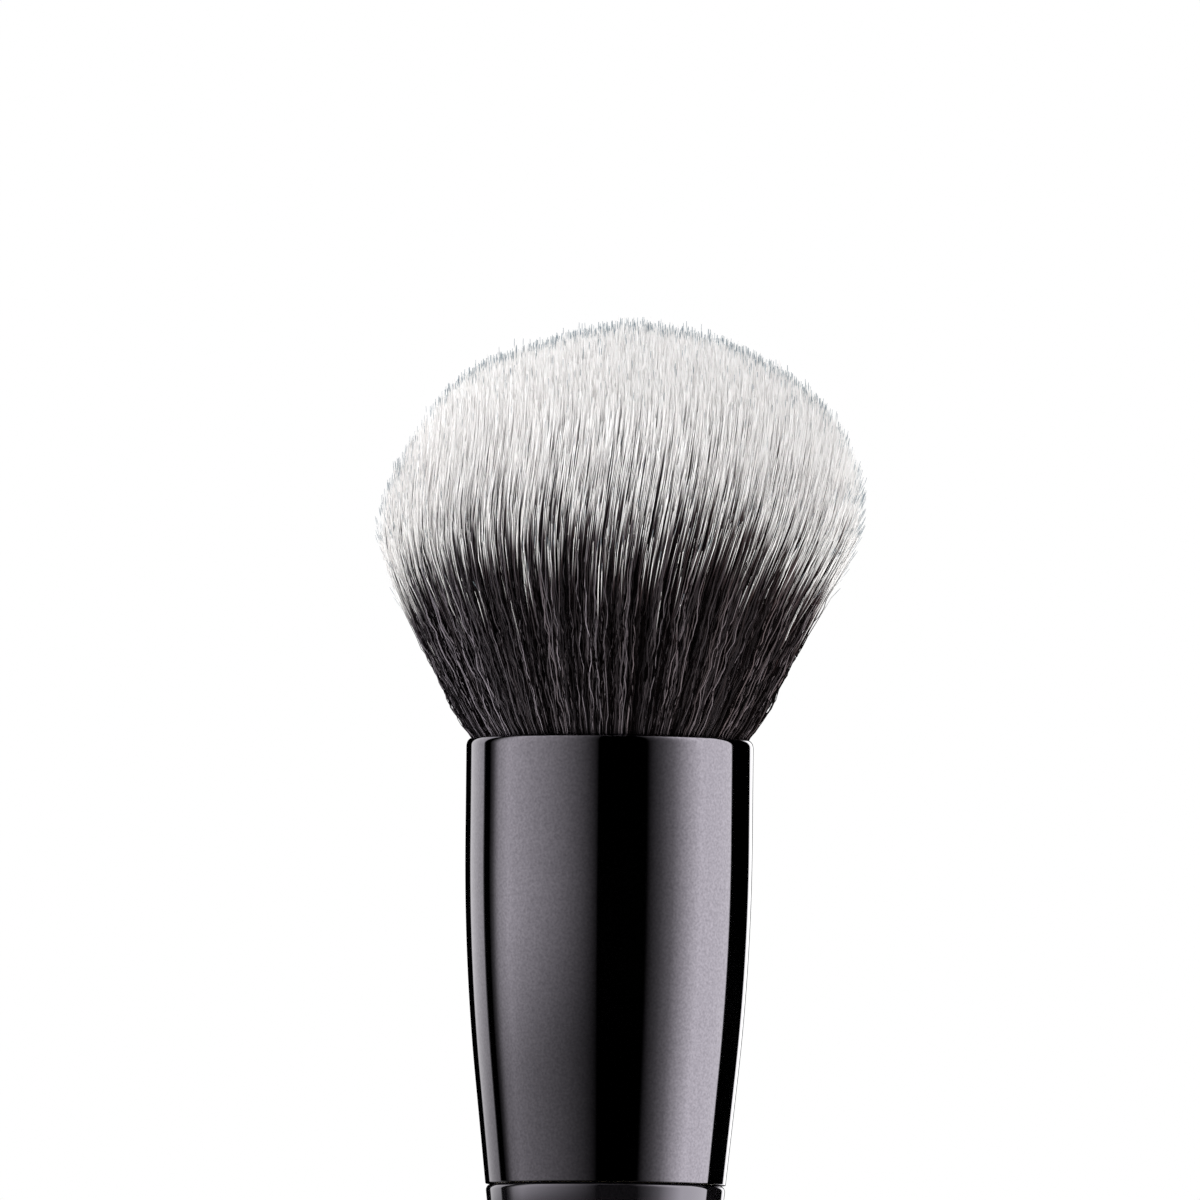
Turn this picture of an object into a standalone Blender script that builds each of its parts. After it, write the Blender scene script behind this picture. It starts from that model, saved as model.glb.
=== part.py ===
"""Foundation brush: a domed tuft of filaments held by a metal ferrule on a turned wooden handle.

The brush stands upright. +Z runs from the butt of the handle to the tips of the tuft, and the
origin is the centre of the flat on the butt. All lengths are in metres.
"""

import math
import random

import bmesh
import bpy
from mathutils import Vector

MM = 0.001

# Fit between pieces that touch
FIT_GAP = 0.3 * MM

# Ferrule: a drawn tube with a straight barrel that bends into a conical foot
FERRULE_LENGTH = 34.2 * MM
BARREL_RADIUS = 11.04 * MM
BARREL_DEPTH = 8.0 * MM  # straight, measured from the mouth
FOOT_TAPER_LENGTH = 8.2 * MM  # straight cone above the foot
FOOT_TAPER_ANGLE = math.radians(6.0)
FERRULE_WALL = 0.5 * MM
RIM_ROUND_WIDTH = 0.36 * MM  # the mouth's outer corner is turned in
RIM_ROUND_DEPTH = 0.6 * MM

# Handle: turned wood, with a tenon that goes up into the ferrule
HANDLE_LENGTH = 103.5 * MM  # from the butt to the ledge under the ferrule
BUTT_FLAT_RADIUS = 3.6 * MM
SWELL_RADIUS = 5.7 * MM
SWELL_HEIGHT = 15.0 * MM
WAIST_RADIUS = 4.7 * MM
WAIST_HEIGHT = 46.0 * MM
SHOULDER_ROUND = 0.45 * MM
TENON_LENGTH = 16.0 * MM
TENON_CHAMFER = 0.8 * MM
GLUE_GROOVE_COUNT = 2
GLUE_GROOVE_WIDTH = 1.4 * MM
GLUE_GROOVE_DEPTH = 0.5 * MM

# Adhesive that fills the wedge between tenon and ferrule, and covers the tenon's end
ADHESIVE_WALL = 0.45 * MM  # at the foot, where it is thinnest
ADHESIVE_PAD = 1.0 * MM

# Thread wound round the root bundle before the resin sets
THREAD_DIAMETER = 0.8 * MM
THREAD_SPACE = 0.5 * MM  # clear gap from turn to turn
THREAD_BAND_SHARE = 0.6  # of the knot's height

# Tuft: from its backing it fans out evenly, then closes in a dome
BACKING_DEPTH = 0.8 * MM  # from the mouth down to the top of the backing
BACKING_THICKNESS = 2.0 * MM
RIM_CLEARANCE = 0.45 * MM  # between the fanned strands and the mouth
FAN_RISE = 13.85 * MM  # from the mouth up to where the dark dye ends
FAN_RADIUS = 17.7 * MM  # there
FLANK_LENGTH = 4.45 * MM  # from there up to the widest place
FLANK_FLARE = 0.7 * MM
DOME_HEIGHT = 13.8 * MM
HEAD_LEAN = 1.3 * MM  # the dome sits off the axis, towards +X
TIP_SCATTER = 0.35 * MM
STRAND_SHARE = 0.82  # width of a strand in its cell of the pattern
NECK_SHARE = 0.8  # how far up from shoulder to tip a strand begins its point
NECK_WIDTH_SHARE = 0.9
PATTERN_RINGS = 7
PATTERN_SECTORS = 7  # the pattern has sectors times rings squared cells

# Facets
VISIBLE_SEGMENTS = 48
HIDDEN_SEGMENTS = 40
BEND_STEPS = 6
RIM_STEPS = 4
ROUND_STEPS = 3
NOSE_STEPS = 6
SWEEP_STEPS = 6
THREAD_STEPS_PER_TURN = 24
SHARP_ANGLE = math.radians(35.0)

# Worked out from the sizes above
FERRULE_FOOT_HEIGHT = HANDLE_LENGTH + FIT_GAP
MOUTH_HEIGHT = FERRULE_FOOT_HEIGHT + FERRULE_LENGTH
BEND_LENGTH = FERRULE_LENGTH - BARREL_DEPTH - FOOT_TAPER_LENGTH
TENON_END_DEPTH = FERRULE_LENGTH + FIT_GAP - TENON_LENGTH
ADHESIVE_TOP_DEPTH = TENON_END_DEPTH - FIT_GAP - ADHESIVE_PAD
KNOT_BOTTOM_DEPTH = ADHESIVE_TOP_DEPTH - FIT_GAP
KNOT_TOP_DEPTH = BACKING_DEPTH + BACKING_THICKNESS + FIT_GAP
KNOT_HEIGHT = KNOT_BOTTOM_DEPTH - KNOT_TOP_DEPTH
THREAD_PITCH = THREAD_DIAMETER + THREAD_SPACE
THREAD_TURNS = int(THREAD_BAND_SHARE * KNOT_HEIGHT / THREAD_PITCH)
DOME_RISE = FAN_RISE + FLANK_LENGTH


def ferrule_radius(depth):
    """Outer radius of the ferrule at a depth below its mouth, without the turned-in corner."""
    bent = min(max(depth - BARREL_DEPTH, 0.0), BEND_LENGTH)
    coned = max(depth - BARREL_DEPTH - BEND_LENGTH, 0.0)
    slope = math.tan(FOOT_TAPER_ANGLE)
    return BARREL_RADIUS - slope * (bent * bent / (2 * BEND_LENGTH) + coned)


def bore_radius(depth):
    """Inner radius of the ferrule at a depth below its mouth."""
    return ferrule_radius(depth) - FERRULE_WALL


def filling_radius(depth):
    """Radius of what fills the ferrule's bore, with the fit gap left."""
    return bore_radius(depth) - FIT_GAP


TENON_RADIUS = filling_radius(FERRULE_LENGTH) - ADHESIVE_WALL - FIT_GAP


def wall_depths(top, bottom):
    """Depths between two limits at which the ferrule's wall needs a point."""
    bend = [BARREL_DEPTH + BEND_LENGTH * step / BEND_STEPS for step in range(BEND_STEPS + 1)]
    return [top] + [depth for depth in bend if top + FIT_GAP < depth < bottom - FIT_GAP] + [bottom]


def new_material(name, colour, roughness, metallic=0.0):
    """A Principled material of one colour."""
    material = bpy.data.materials.new(name)
    material.use_nodes = True
    shader = material.node_tree.nodes["Principled BSDF"]
    shader.inputs["Base Color"].default_value = (*colour, 1.0)
    shader.inputs["Roughness"].default_value = roughness
    shader.inputs["Metallic"].default_value = metallic
    return material


def place(name, data, materials, parent, height=0.0):
    """Put a mesh or curve in the scene under its piece's name."""
    piece = bpy.data.objects.new(name, data)
    bpy.context.scene.collection.objects.link(piece)
    for material in materials:
        data.materials.append(material)
    piece.parent = parent
    piece.location = (0.0, 0.0, height)
    return piece


def as_mesh(name, bm):
    """Turn a bmesh into a mesh with outward faces, shaded smooth between its sharp edges."""
    bmesh.ops.recalc_face_normals(bm, faces=bm.faces)
    mesh = bpy.data.meshes.new(name)
    bm.to_mesh(mesh)
    bm.free()
    mesh.shade_smooth()
    mesh.set_sharp_from_angle(angle=SHARP_ANGLE)
    return mesh


def turned(name, profile, segments, closed=False):
    """Spin an outline of (radius, height) points round Z.

    An open outline is a solid body: its two ends are filled with flat faces. A closed outline
    makes a ring, such as a tube with a wall.
    """
    bm = bmesh.new()
    points = [bm.verts.new((radius, 0.0, height)) for radius, height in profile]
    edges = [bm.edges.new(pair) for pair in zip(points, points[1:])]
    if closed:
        edges.append(bm.edges.new((points[-1], points[0])))
    bmesh.ops.spin(
        bm,
        geom=points + edges,
        axis=(0.0, 0.0, 1.0),
        cent=(0.0, 0.0, 0.0),
        angle=math.tau,
        steps=segments,
        use_merge=True,
    )
    if not closed:
        rims = [edge for edge in bm.edges if edge.is_boundary]
        bmesh.ops.holes_fill(bm, edges=rims, sides=segments)
    return as_mesh(name, bm)


def eased(start, end, start_slope, end_slope, steps):
    """Points of a cubic from one (radius, height) to another, with its slopes at both ends."""
    run = end[1] - start[1]
    points = []
    for step in range(1, steps + 1):
        t = step / steps
        radius = (
            (2 * t**3 - 3 * t**2 + 1) * start[0]
            + (t**3 - 2 * t**2 + t) * run * start_slope
            + (3 * t**2 - 2 * t**3) * end[0]
            + (t**3 - t**2) * run * end_slope
        )
        points.append((radius, start[1] + run * t))
    return points


def build_handle(lacquer, parent):
    """Handle from the flat butt, over swell and waist, to the ledge and the grooved tenon."""
    nose = []
    for step in range(NOSE_STEPS + 1):
        turn = math.pi / 2 * step / NOSE_STEPS
        radius = BUTT_FLAT_RADIUS + (SWELL_RADIUS - BUTT_FLAT_RADIUS) * math.sin(turn)
        nose.append((radius, SWELL_HEIGHT * (1 - math.cos(turn))))

    foot_radius = ferrule_radius(FERRULE_LENGTH)
    slope = math.tan(FOOT_TAPER_ANGLE)
    shoulder = (foot_radius - SHOULDER_ROUND * slope, HANDLE_LENGTH - SHOULDER_ROUND)
    waist = (WAIST_RADIUS, WAIST_HEIGHT)
    to_waist = eased(nose[-1], waist, 0.0, 0.0, SWEEP_STEPS)
    to_shoulder = eased(waist, shoulder, 0.0, slope, SWEEP_STEPS)

    rounding = []
    for step in range(1, ROUND_STEPS + 1):
        turn = math.pi / 2 * step / ROUND_STEPS
        radius = shoulder[0] - SHOULDER_ROUND * (1 - math.cos(turn))
        rounding.append((radius, shoulder[1] + SHOULDER_ROUND * math.sin(turn)))

    tenon = [(TENON_RADIUS, HANDLE_LENGTH)]
    for groove in range(1, GLUE_GROOVE_COUNT + 1):
        middle = HANDLE_LENGTH + TENON_LENGTH * groove / (GLUE_GROOVE_COUNT + 1)
        tenon.append((TENON_RADIUS, middle - GLUE_GROOVE_WIDTH / 2))
        tenon.append((TENON_RADIUS - GLUE_GROOVE_DEPTH, middle))
        tenon.append((TENON_RADIUS, middle + GLUE_GROOVE_WIDTH / 2))
    tenon_end = HANDLE_LENGTH + TENON_LENGTH
    tenon.append((TENON_RADIUS, tenon_end - TENON_CHAMFER))
    tenon.append((TENON_RADIUS - TENON_CHAMFER, tenon_end))

    profile = nose + to_waist + to_shoulder + rounding + tenon
    mesh = turned("handle", profile, VISIBLE_SEGMENTS)
    return place("handle", mesh, [lacquer], parent)


def build_ferrule(metal, parent):
    """Ferrule tube with its turned-in mouth. Its own heights are measured from the mouth."""
    outside = []
    for step in range(RIM_STEPS):
        turn = math.pi / 2 * step / RIM_STEPS
        radius = BARREL_RADIUS - RIM_ROUND_WIDTH * (1 - math.sin(turn))
        outside.append((radius, -RIM_ROUND_DEPTH * (1 - math.cos(turn))))
    depths = wall_depths(RIM_ROUND_DEPTH, FERRULE_LENGTH)
    outside += [(ferrule_radius(depth), -depth) for depth in depths]
    inside = [(bore_radius(depth), -depth) for depth in reversed(wall_depths(0.0, FERRULE_LENGTH))]
    mesh = turned("ferrule", outside + inside, VISIBLE_SEGMENTS, closed=True)
    return place("ferrule", mesh, [metal], parent, MOUTH_HEIGHT)


def build_adhesive(adhesive, parent):
    """Cup of set adhesive round the tenon and over its end."""
    outside = [
        (filling_radius(depth), -depth) for depth in wall_depths(ADHESIVE_TOP_DEPTH, FERRULE_LENGTH)
    ]
    ceiling = -(TENON_END_DEPTH - FIT_GAP)
    inner_radius = TENON_RADIUS + FIT_GAP
    inside = [(inner_radius, -FERRULE_LENGTH), (inner_radius, ceiling)]
    mesh = turned("handle_adhesive", outside + inside, HIDDEN_SEGMENTS)
    return place("handle_adhesive", mesh, [adhesive], parent, MOUTH_HEIGHT)


def thread_route():
    """Centres of the thread's winding, as a helix round the middle of the knot."""
    middle = (KNOT_TOP_DEPTH + KNOT_BOTTOM_DEPTH) / 2
    travel = THREAD_TURNS * THREAD_PITCH
    radius = filling_radius(middle + travel / 2) - THREAD_DIAMETER / 2
    count = THREAD_TURNS * THREAD_STEPS_PER_TURN
    route = []
    for step in range(count + 1):
        turn = math.tau * step / THREAD_STEPS_PER_TURN
        depth = middle - travel / 2 + travel * step / count
        route.append(Vector((radius * math.cos(turn), radius * math.sin(turn), -depth)))
    return route


def least_thread_gap(route):
    """Least clear distance between one turn of the thread and the next."""
    apart = THREAD_STEPS_PER_TURN // 2
    distances = [
        (one - other).length
        for place_on_route, one in enumerate(route)
        for other in route[place_on_route + apart :]
    ]
    return min(distances) - THREAD_DIAMETER


def build_thread(waxed_thread, parent):
    """Thread wound round the roots, as one unbroken tube."""
    route = thread_route()
    print(f"binding thread: least gap to itself {least_thread_gap(route) / MM:.2f} mm")
    curve = bpy.data.curves.new("binding_thread", "CURVE")
    curve.dimensions = "3D"
    curve.bevel_depth = THREAD_DIAMETER / 2
    curve.bevel_resolution = 1
    curve.use_fill_caps = True
    spline = curve.splines.new("POLY")
    spline.points.add(len(route) - 1)
    for point, centre in zip(spline.points, route):
        point.co = (*centre, 1.0)
    return place("binding_thread", curve, [waxed_thread], parent, MOUTH_HEIGHT)


def build_knot(resin, parent):
    """Resin plug that holds the roots, with a waist where the thread is wound."""
    route = thread_route()
    waist_radius = route[0].xy.length - THREAD_DIAMETER / 2 - FIT_GAP
    clear = THREAD_DIAMETER / 2 + FIT_GAP
    waist_top = -route[0].z - clear
    waist_bottom = -route[-1].z + clear
    profile = [(filling_radius(depth), -depth) for depth in wall_depths(KNOT_TOP_DEPTH, waist_top)]
    profile += [(waist_radius, -waist_top), (waist_radius, -waist_bottom)]
    profile += [
        (filling_radius(depth), -depth) for depth in wall_depths(waist_bottom, KNOT_BOTTOM_DEPTH)
    ]
    mesh = turned("knot_resin", profile, HIDDEN_SEGMENTS)
    return place("knot_resin", mesh, [resin], parent, MOUTH_HEIGHT)


def pattern_corner(ring, step):
    """A corner of the root pattern as shares of its radius: a step along one of its rings."""
    if ring == 0:
        return Vector((0.0, 0.0))
    turn = math.tau * step / (PATTERN_SECTORS * ring)
    share = ring / PATTERN_RINGS
    return Vector((share * math.cos(turn), share * math.sin(turn)))


def pattern_cells():
    """The root pattern's triangles, each as three (ring, step) corners, anticlockwise."""
    cells = []
    for ring in range(PATTERN_RINGS):
        for sector in range(PATTERN_SECTORS):
            inner, outer = sector * ring, sector * (ring + 1)
            for step in range(ring + 1):
                apex = (ring, inner + step)
                cells.append((apex, (ring + 1, outer + step), (ring + 1, outer + step + 1)))
            for step in range(ring):
                apex = (ring + 1, outer + step + 1)
                cells.append((apex, (ring, inner + step + 1), (ring, inner + step)))
    return cells


def root_radius():
    """Radius of the root pattern, from which the fan clears the mouth by the rim clearance."""
    mouth_share = BACKING_DEPTH / (BACKING_DEPTH + FAN_RISE)
    mouth_radius = bore_radius(0.0) - RIM_CLEARANCE
    return (mouth_radius - mouth_share * FAN_RADIUS) / (1 - mouth_share)


def at_root(share):
    """A point of the pattern on top of the backing."""
    return Vector((*(share * root_radius()), -BACKING_DEPTH))


def at_shoulder(share):
    """A point of the pattern where the dark dye ends."""
    return Vector((*(share * FAN_RADIUS), FAN_RISE))


def at_tip(share):
    """A point of the pattern on the dome."""
    fullness = math.sqrt(max(0.0, 1 - share.length_squared))
    flat = share * (FAN_RADIUS + FLANK_FLARE)
    return Vector((flat.x + HEAD_LEAN, flat.y, DOME_RISE + DOME_HEIGHT * fullness))


def extruded(bm, faces):
    """Extrude each face by itself and give the new faces, in the same order."""
    return bmesh.ops.extrude_discrete_faces(bm, faces=faces)["faces"]


def extruded_rim(bm, rim):
    """Extrude a loop of boundary edges, and give the new loop's corners and edges."""
    made = bmesh.ops.extrude_edge_only(bm, edges=rim)["geom"]
    verts = [part for part in made if isinstance(part, bmesh.types.BMVert)]
    edges = [part for part in made if isinstance(part, bmesh.types.BMEdge) and part.is_boundary]
    return verts, edges


def build_tuft(backing, dyed, pale, parent):
    """Tuft of three-sided strands that fan out of a slice of their backing to a dome."""
    scatter = random.Random(11)
    bm = bmesh.new()
    corners = {}

    def corner(key):
        ring, step = key
        key = (ring, step % max(1, PATTERN_SECTORS * ring))
        if key not in corners:
            corners[key] = bm.verts.new(at_root(pattern_corner(*key)))
        return corners[key]

    cells = pattern_cells()
    strands = [bm.faces.new([corner(key) for key in cell]) for cell in cells]

    sections = []
    for cell in cells:
        shares = [pattern_corner(*key) for key in cell]
        middle = sum(shares, Vector((0.0, 0.0))) / len(shares)
        sections.append((middle, [middle + (share - middle) * STRAND_SHARE for share in shares]))

    bmesh.ops.inset_individual(bm, faces=strands, thickness=FIT_GAP)
    for face, (_, shares) in zip(strands, sections):
        for vert, share in zip(face.verts, shares):
            vert.co = at_root(share)

    strands = extruded(bm, strands)
    for face, (_, shares) in zip(strands, sections):
        for vert, share in zip(face.verts, shares):
            vert.co = at_shoulder(share)

    strands = extruded(bm, strands)
    for face, (middle, shares) in zip(strands, sections):
        for vert, share in zip(face.verts, shares):
            narrowed = middle + (share - middle) * NECK_WIDTH_SHARE
            vert.co = at_shoulder(narrowed).lerp(at_tip(narrowed), NECK_SHARE)

    tips = bmesh.ops.poke(bm, faces=strands)["verts"]
    for vert, (middle, _) in zip(tips, sections):
        stray = Vector([scatter.uniform(-TIP_SCATTER, TIP_SCATTER) for _ in range(3)])
        vert.co = at_tip(middle) + stray

    slice_radius = filling_radius(BACKING_DEPTH)
    rim = [edge for edge in bm.edges if edge.is_boundary]
    verts, rim = extruded_rim(bm, rim)
    for vert in verts:
        vert.co.xy = vert.co.xy.normalized() * slice_radius
    verts, rim = extruded_rim(bm, rim)
    for vert in verts:
        vert.co.z -= BACKING_THICKNESS
    bmesh.ops.edgeloop_fill(bm, edges=rim)

    for face in bm.faces:
        middle_height = face.calc_center_median().z
        face.material_index = int(middle_height > FIT_GAP) + int(middle_height > FAN_RISE)
    mesh = as_mesh("bristle_tuft", bm)
    return place("bristle_tuft", mesh, [backing, dyed, pale], parent, MOUTH_HEIGHT)


def main():
    """Model the brush from its butt to its tips."""
    for old in list(bpy.data.objects):
        bpy.data.objects.remove(old)

    lacquer = new_material("black_lacquer", (0.012, 0.011, 0.013), 0.08)
    metal = new_material("black_plated_metal", (0.10, 0.095, 0.105), 0.12, metallic=1.0)
    adhesive = new_material("set_adhesive", (0.62, 0.55, 0.40), 0.35)
    resin = new_material("knot_resin", (0.30, 0.24, 0.16), 0.30)
    waxed_thread = new_material("waxed_thread", (0.70, 0.66, 0.56), 0.70)
    dyed = new_material("dyed_filament", (0.030, 0.026, 0.028), 0.45)
    pale = new_material("pale_filament", (0.78, 0.77, 0.75), 0.50)

    brush = bpy.data.objects.new("foundation_brush", None)
    bpy.context.scene.collection.objects.link(brush)
    build_handle(lacquer, brush)
    build_ferrule(metal, brush)
    build_adhesive(adhesive, brush)
    build_knot(resin, brush)
    build_thread(waxed_thread, brush)
    build_tuft(resin, dyed, pale, brush)


main()
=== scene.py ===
"""Dress the foundation brush: tuft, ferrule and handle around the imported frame.

The brush stands upright on the butt of its handle. +Z runs up to the tips of the tuft, +X is the
right of the main view and the camera looks along +Y. Lengths are metres, apart from the inputs of
the filament tree, which are millimetres because a filament is about a tenth of one thick.
"""

import logging
import math
from collections.abc import Mapping, Sequence
from dataclasses import dataclass, field, fields
from enum import Enum
from typing import Any

import bmesh
import bpy
from mathutils import Matrix, Vector


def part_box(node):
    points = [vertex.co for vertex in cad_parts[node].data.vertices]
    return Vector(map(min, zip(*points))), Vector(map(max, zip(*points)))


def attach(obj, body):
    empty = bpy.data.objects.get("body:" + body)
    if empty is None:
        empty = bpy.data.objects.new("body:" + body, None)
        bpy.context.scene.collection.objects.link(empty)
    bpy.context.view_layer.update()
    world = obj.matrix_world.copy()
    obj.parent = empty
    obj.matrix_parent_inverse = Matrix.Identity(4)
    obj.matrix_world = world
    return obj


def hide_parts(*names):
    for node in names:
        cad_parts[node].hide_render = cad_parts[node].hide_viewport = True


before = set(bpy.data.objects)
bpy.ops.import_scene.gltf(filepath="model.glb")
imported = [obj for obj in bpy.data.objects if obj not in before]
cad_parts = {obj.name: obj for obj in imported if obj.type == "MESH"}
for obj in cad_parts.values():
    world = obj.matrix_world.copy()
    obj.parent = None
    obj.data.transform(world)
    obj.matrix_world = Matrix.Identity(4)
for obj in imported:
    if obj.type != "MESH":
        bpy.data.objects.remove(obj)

LOG = logging.getLogger("foundation_brush")
MM = 0.001
BODY = "root"
MERGE_DISTANCE = 1e-7
SHARP_ANGLE = math.radians(40.0)
GOLDEN_ANGLE = math.pi * (3.0 - math.sqrt(5.0))
FILAMENT_MAP = "OFBake"
TONE_COUNT = 64.0

Colour = tuple[float, float, float, float]
Pair = tuple[float, float]
Outline = list[Pair]
Known = dict[str, Any]
Formulas = Sequence[tuple[Any, ...]]

# What a table of formulas calls a node with these settings. It names other nodes by their type,
# and the operations of the Math node as Blender does.
NODES: dict[str, tuple[str, dict[str, Any]]] = {
    "RANGE": ("ShaderNodeMapRange", {}),
    "EASE": ("ShaderNodeMapRange", {"interpolation_type": "SMOOTHSTEP"}),
    "BLEND": ("ShaderNodeMix", {"data_type": "FLOAT"}),
    "MIX": ("ShaderNodeMix", {"data_type": "RGBA"}),
    "JOIN": ("ShaderNodeCombineXYZ", {}),
    "SPLIT": ("ShaderNodeSeparateXYZ", {}),
    "TURN": ("ShaderNodeVectorRotate", {"rotation_type": "Z_AXIS"}),
    "NOISE": ("ShaderNodeTexNoise", {}),
    "FLAT NOISE": ("ShaderNodeTexNoise", {"noise_dimensions": "2D"}),
    "FLAT CELLS": ("ShaderNodeTexVoronoi", {"voronoi_dimensions": "2D"}),
    "LOTS": ("ShaderNodeTexWhiteNoise", {"noise_dimensions": "1D"}),
    "ON MAP": ("ShaderNodeUVMap", {"uv_map": FILAMENT_MAP}),
    "RELIEF": ("ShaderNodeBump", {}),
    "DRAW": ("FunctionNodeRandomValue", {"data_type": "FLOAT_VECTOR"}),
    "STORE": ("GeometryNodeStoreNamedAttribute", {"data_type": "FLOAT", "domain": "POINT"}),
    "STORE MAP": ("GeometryNodeStoreNamedAttribute", {"data_type": "FLOAT2", "domain": "CORNER"}),
    "STORED": ("GeometryNodeInputNamedAttribute", {"data_type": "FLOAT"}),
} | {
    "VECTOR " + operation: ("ShaderNodeVectorMath", {"operation": operation})
    for operation in ("ADD", "SUBTRACT", "MULTIPLY", "MULTIPLY_ADD", "NORMALIZE", "LENGTH")
}

ON_OBJECT = (("_", "_", "_", "object"), "ShaderNodeTexCoord")


def srgb(code: str) -> Colour:
    """Turn an sRGB hex code into linear colour.

    Args:
        code: Six hex digits, such as "646167".

    Returns:
        Red, green, blue and an alpha of 1.
    """
    shares = [int(code[digit : digit + 2], 16) / 255 for digit in (0, 2, 4)]
    red, green, blue = (
        share / 12.92 if share <= 0.04045 else ((share + 0.055) / 1.055) ** 2.4 for share in shares
    )
    return red, green, blue, 1.0


def add_node(
    tree: bpy.types.NodeTree,
    kind: str,
    settings: Mapping[str, Any] | None = None,
    links: Mapping[str | int, Any] | None = None,
) -> bpy.types.Node:
    """Add a node to a tree, with its settings and what goes into its inputs.

    Args:
        tree: The tree that the node is added to.
        kind: Blender's name of the node's type.
        settings: The node's own properties.
        links: For each input, by name or by its place among those that the settings leave in use,
            a socket to link from or a plain value.

    Returns:
        The new node.
    """
    made = tree.nodes.new(kind)
    for name, value in (settings or {}).items():
        setattr(made, name, value)
    in_use = [socket for socket in made.inputs if socket.enabled]
    for key, value in (links or {}).items():
        socket = in_use[key] if isinstance(key, int) else made.inputs[key]
        if isinstance(value, bpy.types.NodeSocket):
            tree.links.new(value, socket)
        else:
            socket.default_value = value
    return made


def add_formulas(tree: bpy.types.NodeTree, known: Known, formulas: Formulas) -> None:
    """Add the nodes of a table of formulas, each of which may use the results before it.

    Args:
        tree: The tree that the nodes are added to.
        known: Sockets by name, which the results are added to.
        formulas: For each node the name of its result, or a tuple of names for its results in
            order; what NODES or Blender calls it; and its terms, in order or as one mapping from
            inputs to terms. A term is the name of a known socket or a plain value.
    """
    for names, operation, *terms in formulas:
        if operation in NODES:
            kind, settings = NODES[operation]
        elif "Node" in operation:
            kind, settings = operation, {}
        else:
            kind, settings = "ShaderNodeMath", {"operation": operation}
        given = terms[0] if terms and isinstance(terms[0], dict) else dict(enumerate(terms))
        links = {
            key: known.get(term, term) if isinstance(term, str) else term
            for key, term in given.items()
        }
        made = add_node(tree, kind, settings, links)
        results = [socket for socket in made.outputs if socket.enabled]
        known.update(zip((names,) if isinstance(names, str) else names, results))


def new_finish(name: str, formulas: Formulas, surface: Mapping[str, Any]) -> bpy.types.Material:
    """Make a material whose shader takes what a table of formulas gives.

    Args:
        name: What the real material is.
        formulas: The formulas of its pattern.
        surface: For each socket of the shader that is set, a result's name or a plain value.

    Returns:
        The material.
    """
    material = bpy.data.materials.new(name)
    material.use_nodes = True
    tree = material.node_tree
    inputs = tree.nodes["Principled BSDF"].inputs
    known: Known = {}
    add_formulas(tree, known, formulas)
    for socket, value in surface.items():
        if isinstance(value, str):
            tree.links.new(known[value], inputs[socket])
        else:
            inputs[socket].default_value = value
    return material


def place(name: str, mesh: bpy.types.Mesh, material: bpy.types.Material | None) -> bpy.types.Object:
    """Put a mesh in the scene, with its place in its own vertices.

    Args:
        name: The piece's name.
        mesh: The finished mesh.
        material: Its finish, or None where the mesh already has one.

    Returns:
        The new object, at the origin.
    """
    mesh.name = name
    if material is not None:
        mesh.materials.clear()
        mesh.materials.append(material)
    piece = bpy.data.objects.new(name, mesh)
    bpy.context.scene.collection.objects.link(piece)
    return piece


def turned(name: str, profile: Outline, segments: int, closed: bool = False) -> bpy.types.Mesh:
    """Spin an outline round Z into a mesh that is smooth between its sharp edges.

    Args:
        name: The mesh's name.
        profile: Radius and height of each point.
        segments: Facets round the axis.
        closed: True for a ring, whose outline closes on itself. Otherwise both ends are filled.

    Returns:
        The turned mesh, with its faces outwards.
    """
    bm = bmesh.new()
    points = [bm.verts.new((radius, 0.0, height)) for radius, height in profile]
    edges = [bm.edges.new(pair) for pair in zip(points, points[1:])]
    if closed:
        edges.append(bm.edges.new((points[-1], points[0])))
    bmesh.ops.spin(
        bm,
        geom=points + edges,
        axis=(0.0, 0.0, 1.0),
        cent=(0.0, 0.0, 0.0),
        angle=math.tau,
        steps=segments,
        use_merge=True,
    )
    if not closed:
        rims = [edge for edge in bm.edges if edge.is_boundary]
        bmesh.ops.holes_fill(bm, edges=rims, sides=segments)
    bmesh.ops.remove_doubles(bm, verts=bm.verts, dist=MERGE_DISTANCE)
    bmesh.ops.recalc_face_normals(bm, faces=bm.faces)
    mesh = bpy.data.meshes.new(name)
    bm.to_mesh(mesh)
    bm.free()
    mesh.shade_smooth()
    mesh.set_sharp_from_angle(angle=SHARP_ANGLE)
    return mesh


def arc(centre: Pair, size: Pair, start: float, end: float, steps: int) -> Outline:
    """Points along part of an ellipse.

    Args:
        centre: Radius and height of its centre.
        size: Its half width and half height.
        start: First angle, from the outward direction, in radians.
        end: Last angle.
        steps: Steps from the first to the last.

    Returns:
        The points, both ends with them.
    """
    turns = [start + (end - start) * step / steps for step in range(steps + 1)]
    return [
        (centre[0] + size[0] * math.cos(turn), centre[1] + size[1] * math.sin(turn))
        for turn in turns
    ]


def eased(start: Pair, end: Pair, slopes: Pair, steps: int) -> Outline:
    """Points of a cubic sweep, without its first point.

    Args:
        start: Radius and height at the bottom.
        end: Radius and height at the top.
        slopes: Change of radius with height at both ends.
        steps: Number of points.

    Returns:
        The points.
    """
    run = end[1] - start[1]
    points = []
    for step in range(1, steps + 1):
        t = step / steps
        radius = (
            (2 * t**3 - 3 * t**2 + 1) * start[0]
            + (t**3 - 2 * t**2 + t) * run * slopes[0]
            + (3 * t**2 - 2 * t**3) * end[0]
            + (t**3 - t**2) * run * slopes[1]
        )
        points.append((radius, start[1] + run * t))
    return points


# Finishes


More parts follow.
